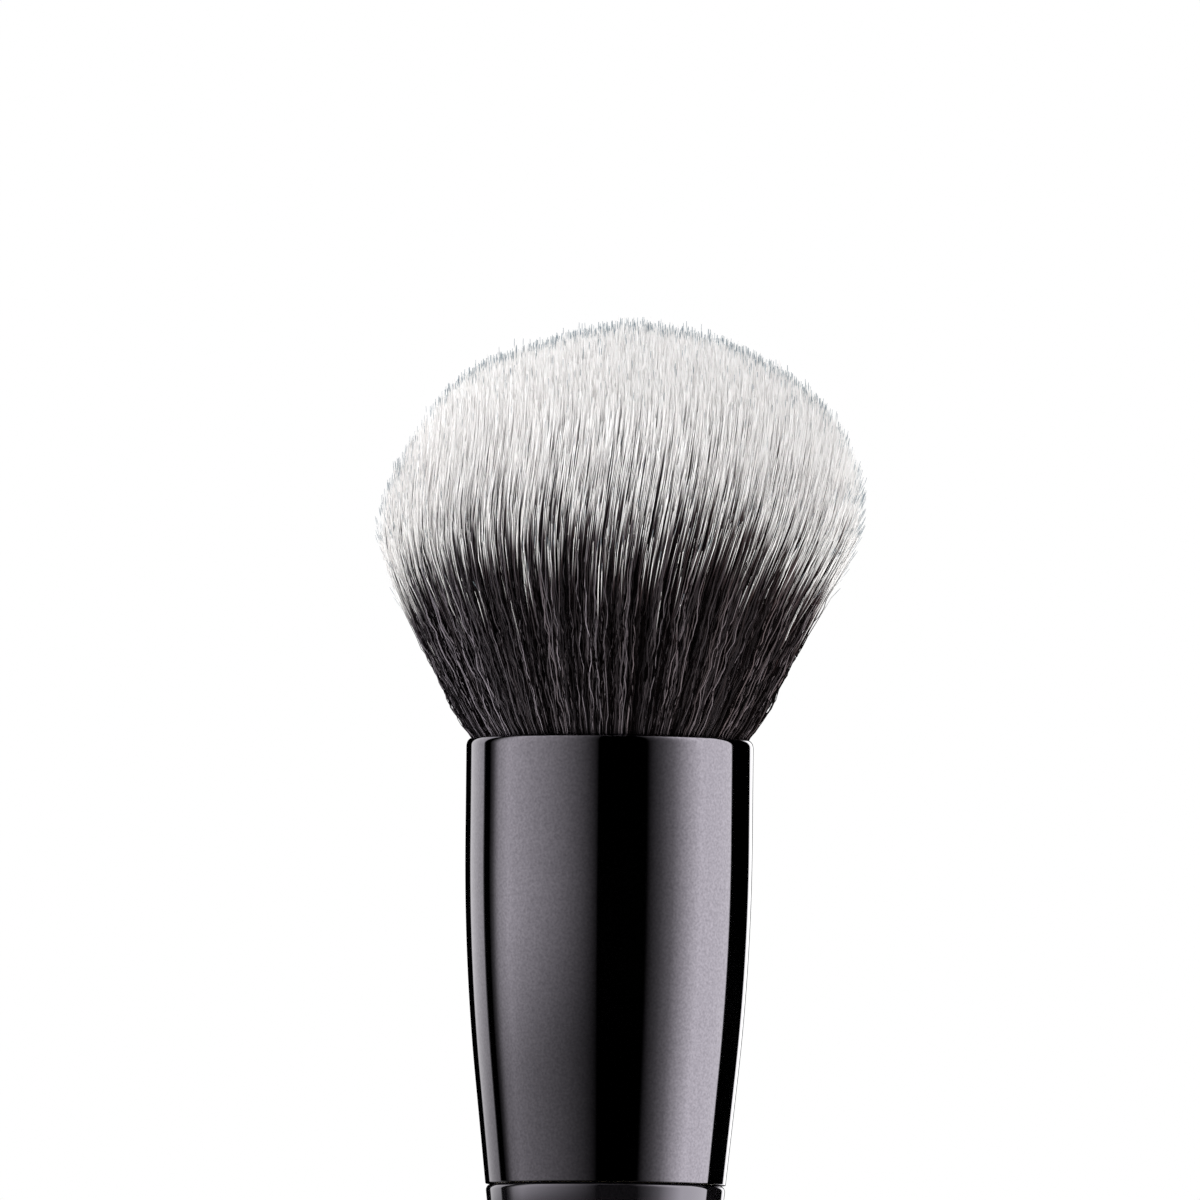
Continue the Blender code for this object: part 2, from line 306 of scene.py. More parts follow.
@dataclass(frozen=True)
class TwoToneFilament:
    """PBT filament, drawn and crimped, its lower length dyed and its tapered tip left pale, with the
    points of some painted blue-grey as shade.

    The eye gets near-black hairs, a random few of them with a painted grey glint in their colour that
    is brighter on the cool side as painted side light, and above the dye line soft white ones.
    Colour is a function of the filament map alone: across is the filament's tone, and up is where
    along it a point lies, with the dye line at 0.5 and the tapered point above 0.9. Pairs of
    colours go from cool or clean to brown or warm.
    """

    dark: tuple[str, str] = ("030304", "090505")
    # glint: painted highlight, a grey glint put into the base colour of a random few dark filaments;
    # its cool end is brighter, as painted side light from the left
    glint: tuple[str, str] = ("a39ca5", "77696a")
    fading: tuple[str, str] = ("46434a", "4a3836")
    pale: tuple[str, str] = ("fbfbfb", "f0edec")
    # point: painted shade, the blue-grey of fine tips in shade
    point: str = "86929a"
    # How rare the painted glint is among the dark filaments
    glint_rarity: float = 3.6
    fading_line: Pair = (0.36, 0.50)
    dye_line: Pair = (0.44, 0.60)
    point_line: Pair = (0.90, 0.96)
    roughness: float = 0.35
    specular: float = 0.01

    def material(self) -> bpy.types.Material:
        """Build the material."""
        formulas = (
            ("on map", "ON MAP"),
            (("across", "along"), "SPLIT", "on map"),
            ("tones", "MULTIPLY", "across", TONE_COUNT),
            ("tone", "FLOOR", "tones"),
            (("_", "lots"), "LOTS", "tone"),
            (("dark lot", "pale lot"), "ShaderNodeSeparateColor", "lots"),
            ("dark", "MIX", "across", *map(srgb, self.dark)),
            ("glint", "MIX", "across", *map(srgb, self.glint)),
            ("fading", "MIX", "across", *map(srgb, self.fading)),
            ("pale", "MIX", "pale lot", *map(srgb, self.pale)),
            # Painted highlight: a random few dark filaments take the glint colour
            ("glinting", "POWER", "dark lot", self.glint_rarity),
            ("dyed", "MIX", "glinting", "dark", "glint"),
            ("past fading", "EASE", "along", *self.fading_line),
            ("faded", "MIX", "past fading", "dyed", "fading"),
            ("past dye", "EASE", "along", *self.dye_line),
            ("length", "MIX", "past dye", "faded", "pale"),
            # Painted shade: the points turn blue-grey
            ("past neck", "EASE", "along", *self.point_line),
            ("colour", "MIX", "past neck", "length", srgb(self.point)),
        )
        surface = {
            "Base Color": "colour",
            "Roughness": self.roughness,
            "Specular IOR Level": self.specular,
        }
        return new_finish("two_tone_pbt_filament", formulas, surface)


@dataclass(frozen=True)
class PackedFilament:
    """The dyed filaments that stand packed behind those that show, seen only as dark depth: the
    near-black of the dye deepened as painted shade, and darker in the hollows of its streaks as painted
    shade.
    """

    # crest and hollow: the dye's near-black deepened as painted shade of the packed depth; hollow is
    # also painted shade in the streaks' hollows
    crest: str = "050404"
    hollow: str = "020202"
    filament_width: float = 0.1 * MM
    stretch: float = 0.04
    relief: float = 0.8
    roughness: float = 0.6

    def material(self) -> bpy.types.Material:
        """Build the material."""
        formulas = (
            ON_OBJECT,
            ("long", "ShaderNodeMapping", {0: "object", "Scale": (1.0, 1.0, self.stretch)}),
            ("streaks", "NOISE", "long", 0.5 / self.filament_width, 2.0),
            # Painted shade: darker in the hollows of the streaks, lighter on their crests
            ("colour", "MIX", "streaks", srgb(self.hollow), srgb(self.crest)),
            ("bumps", "RELIEF", {0: self.relief, 1: self.filament_width, "Height": "streaks"}),
        )
        surface = {"Base Color": "colour", "Normal": "bumps", "Roughness": self.roughness}
        return new_finish("packed_dyed_filament", formulas, surface)


@dataclass(frozen=True)
class BlackAnodisedAluminium:
    """Aluminium tube, polished and dyed black in its anodic film.

    A dark mirror: it shows the studio in crisp bands with a trace of violet, under a very fine
    frosted grain that the polished film keeps.
    """

    light: str = "7d7980"
    deep: str = "524f55"
    grain: float = 0.2 * MM
    grain_span: Pair = (0.3, 0.7)
    roughness: Pair = (0.03, 0.05)

    def material(self) -> bpy.types.Material:
        """Build the material."""
        formulas = (
            ON_OBJECT,
            ("grain", "NOISE", "object", 1.0 / self.grain, 2.0),
            ("colour", "MIX", "grain", srgb(self.deep), srgb(self.light)),
            ("polish", "RANGE", "grain", *self.grain_span, *self.roughness),
        )
        surface = {"Base Color": "colour", "Roughness": "polish", "Metallic": 1.0}
        return new_finish("black_anodised_aluminium", formulas, surface)


@dataclass(frozen=True)
class BlackLacqueredBeech:
    """Turned beech under several coats of black lacquer, polished.

    Deep black with a wet gloss, a trace of violet in its shine, and the slight orange peel of
    sprayed lacquer in its reflections.
    """

    black: str = "0c0b0d"
    shine: str = "f7f0ff"
    peel: float = 1.3 * MM
    peel_height: float = 0.0012 * MM
    roughness: float = 0.03
    ior: float = 2.0

    def material(self) -> bpy.types.Material:
        """Build the material."""
        formulas = (
            ON_OBJECT,
            ("peel", "NOISE", "object", 1.0 / self.peel, 1.0),
            ("bumps", "RELIEF", {0: 1.0, 1: self.peel_height, "Height": "peel"}),
        )
        surface = {
            "Base Color": srgb(self.black),
            "Roughness": self.roughness,
            "IOR": self.ior,
            "Specular Tint": srgb(self.shine),
            "Normal": "bumps",
        }
        return new_finish("black_lacquered_beech", formulas, surface)


@dataclass(frozen=True)
class SetEpoxy:
    """Epoxy, set clear to amber, with cloudy places and trapped bubbles."""

    name: str
    clear: str
    cloudy: str
    cloud_size: float = 3.0 * MM
    bubble_spacing: float = 1.1 * MM
    bubble_edge: Pair = (0.1, 0.28)
    dent_depth: float = 0.1 * MM
    relief: float = 0.6
    roughness: float = 0.28

    def material(self) -> bpy.types.Material:
        """Build the material."""
        formulas = (
            ON_OBJECT,
            ("clouds", "NOISE", "object", 1.0 / self.cloud_size, 3.0),
            ("bubbles", "ShaderNodeTexVoronoi", "object", 1.0 / self.bubble_spacing),
            ("dents", "EASE", "bubbles", *self.bubble_edge),
            ("colour", "MIX", "clouds", srgb(self.clear), srgb(self.cloudy)),
            ("bumps", "RELIEF", {0: self.relief, 1: self.dent_depth, "Height": "dents"}),
        )
        surface = {"Base Color": "colour", "Normal": "bumps", "Roughness": self.roughness}
        return new_finish(self.name, formulas, surface)


@dataclass(frozen=True)
class WaxedThread:
    """Polyester thread, twisted and waxed: ecru, darker in the grooves between plies as painted shade,
    with a dull waxy shine over its plies.
    """

    # groove: painted shade in the grooves between the plies
    crest: str = "d8cfb8"
    groove: str = "8f8468"
    ply_width: float = 0.35 * MM
    ply_tilt: tuple[float, float, float] = (0.6, 0.5, 0.0)
    ply_depth: float = 0.06 * MM
    unevenness: float = 1.5
    relief: float = 0.8
    roughness: float = 0.55

    def material(self) -> bpy.types.Material:
        """Build the material."""
        formulas = (
            ON_OBJECT,
            ("tilted", "ShaderNodeMapping", {0: "object", "Rotation": self.ply_tilt}),
            (("_", "plies"), "ShaderNodeTexWave", "tilted", 0.3 / self.ply_width, self.unevenness, 1.0),
            # Painted shade: darker in the grooves, lighter on the plies
            ("colour", "MIX", "plies", srgb(self.groove), srgb(self.crest)),
            ("bumps", "RELIEF", {0: self.relief, 1: self.ply_depth, "Height": "plies"}),
        )
        surface = {"Base Color": "colour", "Normal": "bumps", "Roughness": self.roughness}
        return new_finish("waxed_polyester_thread", formulas, surface)


# Handle and ferrule


@dataclass
class Ferrule:
    """The tube that holds the tuft: a turned-in mouth, a straight barrel and a conical foot."""

    finish: BlackAnodisedAluminium
    barrel_depth: float = 8.0 * MM
    foot_taper_length: float = 8.2 * MM
    foot_taper: float = math.tan(math.radians(6.0))
    wall: float = 0.5 * MM
    rim_round: Pair = (0.36 * MM, 0.6 * MM)
    foot_round: float = 0.06 * MM
    crease: float = 0.02 * MM
    rim_steps: int = 10
    side_steps: int = 56
    foot_steps: int = 5
    segments: int = 192
    foot_height: float = field(init=False)
    mouth_height: float = field(init=False)
    barrel_radius: float = field(init=False)

    def __post_init__(self) -> None:
        """Take the heights and the barrel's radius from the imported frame."""
        low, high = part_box("ferrule")
        self.foot_height, self.mouth_height = low.z, high.z
        self.barrel_radius = (high.x - low.x) / 2

    @property
    def length(self) -> float:
        """Height from foot to mouth."""
        return self.mouth_height - self.foot_height

    def radius(self, depth: float) -> float:
        """Outer radius at a depth below the mouth, without the turned-in corner."""
        bend = self.length - self.barrel_depth - self.foot_taper_length
        bent = min(max(depth - self.barrel_depth, 0.0), bend)
        coned = max(depth - self.barrel_depth - bend, 0.0)
        return self.barrel_radius - self.foot_taper * (bent * bent / (2 * bend) + coned)

    def build(self) -> None:
        """Turn the tube and let it stand for its CAD node."""
        width, start = self.rim_round
        rim = (self.barrel_radius - width, self.mouth_height - start)
        profile = arc(rim, self.rim_round, math.pi / 2, 0.0, self.rim_steps)
        end = self.length - self.foot_round
        for step in range(1, self.side_steps + 1):
            below = start + (end - start) * step / self.side_steps
            profile.append((self.radius(below), self.mouth_height - below))
        profile[-1:-1] = [(self.radius(end - self.crease), self.mouth_height - end + self.crease)]
        foot = (self.radius(self.length) - self.foot_round, self.foot_height + self.foot_round)
        profile += arc(foot, (self.foot_round,) * 2, 0.0, -math.pi / 2, self.foot_steps)[1:]
        for step in range(self.side_steps, -1, -1):
            below = self.length * step / self.side_steps
            profile.append((self.radius(below) - self.wall, self.mouth_height - below))
        mesh = turned("ferrule_tube", profile, self.segments, closed=True)
        piece = place("ferrule_tube", mesh, self.finish.material())
        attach(piece, BODY)
        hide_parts("ferrule")
        LOG.info("ferrule_tube: %d faces", len(mesh.polygons))


@dataclass
class Handle:
    """The turned handle, in one with the grooved tenon that goes up into the ferrule."""

    finish: BlackLacqueredBeech
    ferrule: Ferrule
    butt_flat_radius: float = 3.6 * MM
    swell: Pair = (5.7 * MM, 15.0 * MM)
    waist: Pair = (4.7 * MM, 46.0 * MM)
    shoulder_round: float = 0.45 * MM
    fit_gap: float = 0.3 * MM
    joint_gap: float = 0.03 * MM
    adhesive_wall: float = 0.45 * MM
    tenon_chamfer: float = 0.8 * MM
    groove: Pair = (1.4 * MM, 0.5 * MM)
    groove_count: int = 2
    nose_steps: int = 16
    swell_steps: int = 24
    neck_steps: int = 40
    shoulder_steps: int = 8
    segments: int = 160

    def build(self) -> None:
        """Turn the handle and let it stand for its CAD node."""
        ledge = self.ferrule.foot_height - self.joint_gap
        foot_radius = self.ferrule.radius(self.ferrule.length)
        slope = self.ferrule.foot_taper
        corner = self.shoulder_round

        nose_size = (self.swell[0] - self.butt_flat_radius, self.swell[1])
        nose_centre = (self.butt_flat_radius, self.swell[1])
        outline = arc(nose_centre, nose_size, -math.pi / 2, 0.0, self.nose_steps)
        outline += eased(self.swell, self.waist, (0.0, 0.0), self.swell_steps)
        shoulder = (foot_radius - corner * slope, ledge - corner)
        outline += eased(self.waist, shoulder, (0.0, slope), self.neck_steps)
        rounding = (shoulder[0] - corner, shoulder[1])
        outline += arc(rounding, (corner, corner), 0.0, math.pi / 2, self.shoulder_steps)[1:]
        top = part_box("handle")[1].z
        radius = foot_radius - self.ferrule.wall - self.fit_gap
        radius = radius - self.adhesive_wall - self.fit_gap
        half, depth = self.groove[0] / 2, self.groove[1]
        outline.append((radius, ledge))
        for number in range(1, self.groove_count + 1):
            middle = ledge + (top - ledge) * number / (self.groove_count + 1)
            outline += [(radius, middle - half), (radius - depth, middle), (radius, middle + half)]
        outline += [(radius, top - self.tenon_chamfer), (radius - self.tenon_chamfer, top)]

        mesh = turned("handle_turned", outline, self.segments)
        piece = place("handle_turned", mesh, self.finish.material())
        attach(piece, BODY)
        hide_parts("handle")
        LOG.info("handle_turned: %d faces", len(mesh.polygons))


@dataclass
class RootFixings:
    """What holds handle and roots inside the ferrule. These CAD nodes stay, with real finishes."""

    adhesive: SetEpoxy
    resin: SetEpoxy
    thread: WaxedThread

    def dress(self) -> None:
        """Give the three hidden CAD nodes their materials."""
        finishes = {
            "handle_adhesive": self.adhesive.material(),
            "knot_resin": self.resin.material(),
            "binding_thread": self.thread.material(),
        }
        for node, material in finishes.items():
            for material_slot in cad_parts[node].material_slots:
                material_slot.material = material
            LOG.info("%s: dressed", node)


# Tuft: the filament tree's formulas, in millimetres. Index counts the rings of all filaments. A
# root's place is a share of the way from the axis to the outside of the bundle.

WHICH_FILAMENT: Formulas = (
    ("index", "GeometryNodeInputIndex"),
    ("half on", "ADD", "index", 0.5),
    ("ratio", "DIVIDE", "half on", "Rings"),
    ("filament", "FLOOR", "ratio"),
    ("ring", "MODULO", "index", "Rings"),
    ("ring count", "MULTIPLY", "Filaments", "Rings"),
)

# One name keeps a draw whole, three names split it, and _ is a number that nothing uses
DRAWS: tuple[str | tuple[str, str, str], ...] = (
    "jitter",
    "astray",
    ("proud draw", "dye draw", "length draw"),
    ("_", "girth draw", "stray draw"),
    ("short draw", "splay draw", "crest draw"),
)

ROOT: Formulas = (
    # An even spiral, jittered so that no rows show
    ("number", "ADD", "filament", 0.5),
    ("order", "DIVIDE", "number", "Filaments"),
    ("inner square", "MULTIPLY", "Inner Share", "Inner Share"),
    ("outer square", "MULTIPLY", "Outer Share", "Outer Share"),
    ("square", "RANGE", "order", 0.0, 1.0, "inner square", "outer square"),
    ("reach", "SQRT", "square"),
    ("turn", "MULTIPLY", "filament", GOLDEN_ANGLE),
    ("arm", "JOIN", "reach"),
    ("spun", "TURN", {"Vector": "arm", "Angle": "turn"}),
    ("shifted", "VECTOR MULTIPLY_ADD", "jitter", (0.02, 0.02, 0.0), "spun"),
    ("jittered", "VECTOR ADD", "shifted", (-0.01, -0.01, 0.0)),
    ("distance", "VECTOR LENGTH", "jittered"),
    ("share", "MINIMUM", "distance", 0.999),
    ("direction", "VECTOR NORMALIZE", "jittered"),
    ("root", "VECTOR MULTIPLY", "direction", "share"),
    ("sideways", "SPLIT", "direction"),
    (("rightward", "depthwise"), "SPLIT", "root"),
    # What neighbours have in common: a patch of the dye line, a lock, and a wisp
    ("patches", "FLAT NOISE", "root", "Patch Scale", 2.0),
    (("_", "_", "lock middle"), "FLAT CELLS", "root", "Lock Scale"),
    (("_", "wisp draw", "wisp middle"), "FLAT CELLS", "root", "Wisp Scale"),
    (("wisp rise", "wisp tone", "wisp wave"), "SPLIT", "wisp draw"),
)

# How the even draws are bent: most filaments are ordinary, and a few stand out
DRAW_CURVES: dict[str, Outline] = {
    "short": [(0.0, 0.0), (0.55, 0.0), (0.8, 0.25), (1.0, 1.0)],
    "proud": [(0.0, 0.0), (0.86, 0.0), (0.92, 0.25), (0.98, 0.4), (1.0, 1.0)],
    "dye": [(0, 0.2), (0.04, 0.35), (0.14, 0.45), (0.5, 0.5), (0.68, 0.57), (0.86, 0.72), (1, 1)],
    "stray": [(0.0, 0.06), (0.85, 0.08), (0.96, 0.14), (0.99, 0.28), (1.0, 1.0)],
}

TIP_AND_DYE_LINE: Formulas = (
    # The dome, and the outermost filaments that fall short of it
    ("share square", "MULTIPLY", "share", "share"),
    ("rest", "SUBTRACT", 1.0, "share square"),
    ("fullness", "POWER", "rest", "Dome Fullness"),
    ("dome", "MULTIPLY_ADD", "fullness", "Dome Height", "Shoulder Height"),
    ("outermost", "POWER", "share", 12.0),
    ("fall", "MULTIPLY", "outermost", "Short Fall"),
    ("shortened", "MULTIPLY", "short", "fall"),
    ("flank", "SUBTRACT", 1.0, "share"),
    ("hollow", "MULTIPLY", "share", "flank"),
    ("hollowed", "MULTIPLY_ADD", "hollow", "Dome Hollow", "shortened"),
    ("leftmost", "EASE", "rightward", -0.35, -0.8, 0.0, "Left Rise"),
    ("lopsided", "ADD", "dome", "leftmost"),
    ("even tip", "SUBTRACT", "lopsided", "hollowed"),
    # Its own luck, its wisp's, and the few that stand proud, most of them on a ridge at the top
    ("luck", "SUBTRACT", "length draw", 0.5),
    ("clump rise", "POWER", "wisp rise", 14.0),
    ("before ridge", "ADD", "depthwise", 0.04),
    ("off ridge", "ABSOLUTE", "before ridge"),
    ("odds", "EASE", "off ridge", 0.0, 0.32, "Crest Share", 0.01),
    ("ridge rise", "EASE", "off ridge", 0.0, 0.3, 0.0, 0.3),
    ("crest", "RANGE", "length draw", 0.0, 1.0, 0.1, 0.5),
    ("crest rise", "ADD", "ridge rise", "crest"),
    ("tall", "LESS_THAN", "crest draw", "odds"),
    ("crested", "MULTIPLY", "crest rise", "tall"),
    ("risen", "MAXIMUM", "crested", "proud"),
    ("clumped", "MULTIPLY_ADD", "clump rise", "Clump Rise", "risen"),
    ("excess", "MULTIPLY_ADD", "luck", "Length Scatter", "clumped"),
    ("tip", "ADD", "even tip", "excess"),
    # The crest, many of the outermost, more of them at the sides, and the stray ones get points in
    # painted blue-grey shade
    ("aside", "ABSOLUTE", "sideways"),
    ("rim from", "RANGE", "aside", 0.75, 1.0, 0.6, 0.3),
    ("rim to", "ADD", "rim from", 0.15),
    ("outer", "MULTIPLY", "splay draw", "outermost"),
    ("rim", "EASE", "outer", "rim from", "rim to", 0.0, 1.0),
    ("outlying", "MAXIMUM", "rim", "tall"),
    ("errant", "EASE", "stray draw", 0.98, 0.99, 0.0, 1.0),
    ("bare", "MAXIMUM", "outlying", "errant"),
    ("bare point", "RANGE", "bare", 0.0, 1.0, 0.905, 1.0),
    ("point girth", "RANGE", "bare", 0.0, 1.0, 0.35, 0.45),
    # The dye line lies higher in front and behind than at the sides, and on longer filaments
    ("bow", "POWER", "aside", 2.5),
    ("front", "SUBTRACT", 1.0, "bow"),
    ("dye base", "RANGE", "front", 0.0, 1.0, "Dye Side", "Dye Front"),
    ("dye climb", "RANGE", "front", 0.0, 1.0, 0.2, 0.58),
    ("above shoulder", "SUBTRACT", "tip", "Shoulder Height"),
    ("even dye", "MULTIPLY_ADD", "above shoulder", "dye climb", "dye base"),
    ("own dye", "SUBTRACT", "dye", 0.5),
    ("tilted dye", "MULTIPLY_ADD", "sideways", "Dye Tilt", "even dye"),
    ("streaked dye", "MULTIPLY_ADD", "own dye", "Dye Streak", "tilted dye"),
    ("patch", "RANGE", "patches", 0.3, 0.7, 1.0, -1.0),
    ("patched dye", "MULTIPLY_ADD", "patch", "Dye Patch", "streaked dye"),
    ("last dye", "SUBTRACT", "tip", "Least Pale"),
    ("low dye", "MINIMUM", "patched dye", "last dye"),
    # Where the shown length starts, and the heights of the rings
    ("shown", "SUBTRACT", "tip", "Shown Length"),
    ("deepest", "MULTIPLY", "Root Depth", -1.0),
    ("start", "MAXIMUM", "shown", "deepest"),
    ("first dye", "ADD", "start", 1.3),
    ("dye line", "MAXIMUM", "low dye", "first dye"),
    ("above dye", "ADD", "dye line", "Dye Blur"),
    ("below dye", "SUBTRACT", "dye line", "Dye Blur"),
    ("neck", "SUBTRACT", "tip", "Point Length"),
    ("half pale", "RANGE", 0.5, 0.0, 1.0, "above dye", "neck"),
    ("dark rings", "SUBTRACT", "Rings", 5.0),
    ("dark step", "DIVIDE", "ring", "dark rings"),
    ("dark height", "RANGE", "dark step", 0.0, 1.0, "start", "below dye"),
    ("dark along", "MULTIPLY", "dark step", 0.4),
    ("past dark", "SUBTRACT", "ring", "dark rings"),
    ("stage", "MAXIMUM", "past dark", 0.0),
)

# Height of each stage of the filament, how far up the filament map it is, and its thickness
STATIONS = (
    ("dark height", "dark along", 1.2),
    ("above dye", 0.6, 1.1),
    ("half pale", 0.75, 0.85),
    ("neck", 0.9, 0.75),
    # The tip: on the shade-tipped filaments it reaches the painted blue-grey shade at the top of the
    # map
    ("tip", "bare point", "point girth"),
)

RING_PLACE: Formulas = (
    (("height", "along", "taper"), "SPLIT", "chosen"),
    # Locks draw together towards the tip, and wisps most of all lower down
    ("above", "MAXIMUM", "height", 0.0),
    ("climb", "DIVIDE", "above", "tip"),
    ("climb square", "MULTIPLY", "climb", "climb"),
    ("lock pull", "MULTIPLY", "Lock Pull", "climb square"),
    ("to lock", "VECTOR SUBTRACT", "lock middle", "root"),
    ("in lock", "VECTOR MULTIPLY_ADD", "to lock", "lock pull", "root"),
    ("wisp hold", "RANGE", "climb", 0.3, 0.75, 1.0, 0.1),
    ("wisp pull", "MULTIPLY", "Wisp Pull", "wisp hold"),
    ("to wisp", "VECTOR SUBTRACT", "wisp middle", "in lock"),
    ("in wisp", "VECTOR MULTIPLY_ADD", "to wisp", "wisp pull", "in lock"),
    # The fan bulges over the brim, widens, and comes upright at its widest
    ("brim", "DIVIDE", "above", "Brim Rise"),
    ("decay", "POWER", math.exp(-1.0), "brim"),
    ("swollen", "SUBTRACT", 1.0, "decay"),
    ("bulge", "MULTIPLY_ADD", "swollen", "Brim Bulge", "Mouth Radius"),
    ("widening", "SMOOTH_MIN", "above", "Fan Height", "Fan Ease"),
    ("fan", "MULTIPLY_ADD", "widening", "Fan Slope", "bulge"),
    ("fanned", "VECTOR MULTIPLY", "in wisp", "fan"),
    # Its own crimp, as a noise along it
    ("own phase", "MULTIPLY", "girth draw", 0.4),
    ("phase", "MULTIPLY_ADD", "wisp wave", 60.0, "own phase"),
    ("waves", "DIVIDE", "height", "Wave Length"),
    ("place in noise", "JOIN", "phase", 0.0, "waves"),
    (("_", "noise"), "NOISE", "place in noise", 1.0, 1.0),
    ("swing", "VECTOR SUBTRACT", "noise", (0.5, 0.5, 0.5)),
    ("free", "RANGE", "height", -0.5, 2.0, 0.0, "Wave"),
    ("calm", "RANGE", "height", 8.0, 15.0, 1.0, 0.25),
    ("crimp", "MULTIPLY", "free", "calm"),
    ("waved", "VECTOR MULTIPLY", "swing", "crimp"),
    # It strays from its neighbours towards the tip
    ("freedom", "MULTIPLY", "stray", "Spread"),
    ("spread", "MULTIPLY", "freedom", "climb"),
    ("aim", "VECTOR SUBTRACT", "astray", (0.5, 0.5, 0.5)),
    ("apart", "VECTOR MULTIPLY", "aim", "spread"),
    # The ends splay outwards
    ("late", "POWER", "climb", 10.0),
    ("own splay", "MULTIPLY", "splay draw", "Splay"),
    ("rim splay", "MULTIPLY_ADD", "rim", 0.25, "own splay"),
    ("outer splay", "MULTIPLY", "rim splay", "share square"),
    ("splay", "MULTIPLY", "outer splay", "late"),
    ("splayed", "VECTOR MULTIPLY", "direction", "splay"),
    # All of these are added up, on the tuft's sideways set, and turned to metres
    ("leaning", "EASE", "height", "Lean From", "Lean To", 0.0, "Lean"),
    ("upright", "JOIN", "leaning", 0.0, "height"),
    ("mouth", "JOIN", 0.0, 0.0, "Mouth Height"),
    ("fanned up", "VECTOR ADD", "upright", "fanned"),
    ("spread out", "VECTOR ADD", "fanned up", "apart"),
    ("crimped", "VECTOR ADD", "spread out", "waved"),
    ("ended", "VECTOR ADD", "crimped", "splayed"),
    ("position", "VECTOR MULTIPLY_ADD", "ended", (MM, MM, MM), "mouth"),
    # The dye is browner towards +X, and its painted glint is brighter towards -X as painted side light
    ("thickness", "RANGE", "girth draw", 0.0, 1.0, 0.8, 1.2),
    ("tapered", "MULTIPLY", "taper", "thickness"),
    ("girth", "MULTIPLY", "tapered", "Filament Radius"),
    ("browner", "RANGE", "sideways", -1.0, 1.0, 0.0, 0.999),
    ("own tone", "MULTIPLY", "wisp tone", 0.45),
    ("tone mix", "MULTIPLY_ADD", "browner", 0.55, "own tone"),
    ("tones", "MULTIPLY", "tone mix", TONE_COUNT),
    ("tone", "FLOOR", "tones"),
)

TUBES: Formulas = (
    ("points", "GeometryNodePoints", "ring count", "position"),
    ("toned", "STORE", {0: "points", "Name": "at_tone", "Value": "tone"}),
    ("measured", "STORE", {0: "toned", "Name": "at_along", "Value": "along"}),
    ("sized", "STORE", {0: "measured", "Name": "at_girth", "Value": "girth"}),
    # The filament and ring numbers are worked out again from the index here
    ("curves", "GeometryNodePointsToCurves", "sized", "filament", "ring"),
    ("circle", "GeometryNodeCurvePrimitiveCircle", 3, MM),
    ("section", "STORE", {0: "circle", "Name": "at_corner", "Value": "index"}),
    ("stored tone", "STORED", "at_tone"),
    ("stored along", "STORED", "at_along"),
    ("stored girth", "STORED", "at_girth"),
    ("stored corner", "STORED", "at_corner"),
    ("tubes", "GeometryNodeCurveToMesh", "curves", "section", "stored girth", True),
    ("corner place", "MULTIPLY_ADD", "stored corner", 0.35, 0.15),
    ("tone place", "ADD", "stored tone", "corner place"),
    ("across", "DIVIDE", "tone place", TONE_COUNT),
    ("on map", "JOIN", "across", "stored along"),
    ("mapped", "STORE MAP", {0: "tubes", "Name": FILAMENT_MAP, "Value": "on map"}),
    ("less tone", "GeometryNodeRemoveAttribute", "mapped", "at_tone"),
    ("less along", "GeometryNodeRemoveAttribute", "less tone", "at_along"),
    ("less girth", "GeometryNodeRemoveAttribute", "less along", "at_girth"),
    ("plain", "GeometryNodeRemoveAttribute", "less girth", "at_corner"),
    ("smooth", "GeometryNodeSetShadeSmooth", {0: "plain", "Shade Smooth": True}),
    ("realized", "GeometryNodeRealizeInstances", "smooth"),
    ("dressed", "GeometryNodeSetMaterial", {0: "realized", "Material": "Material"}),
    ((), "NodeGroupOutput", "dressed"),
)


@dataclass(frozen=True)
class FilamentGroup:
    """Filaments that are made alike, as a share of the way from the axis to the outside."""

    inner_share: float
    outer_share: float
    rings: int
    shown_length: float
    density: float
    pieces: int
    thickness: float


class Layer(Enum):
    """The tuft's layers, from the one that shows in full to the one that shows only its tips."""

    FRINGE = FilamentGroup(0.95, 1.0, 26, 100.0, 0.70, 2, 1.0)
    MANTLE = FilamentGroup(0.90, 0.95, 22, 100.0, 0.60, 2, 1.0)
    SHELL = FilamentGroup(0.80, 0.90, 14, 100.0, 0.6, 2, 1.0)
    HEART = FilamentGroup(0.0, 0.80, 6, 9.5, 1.0, 4, 1.25)


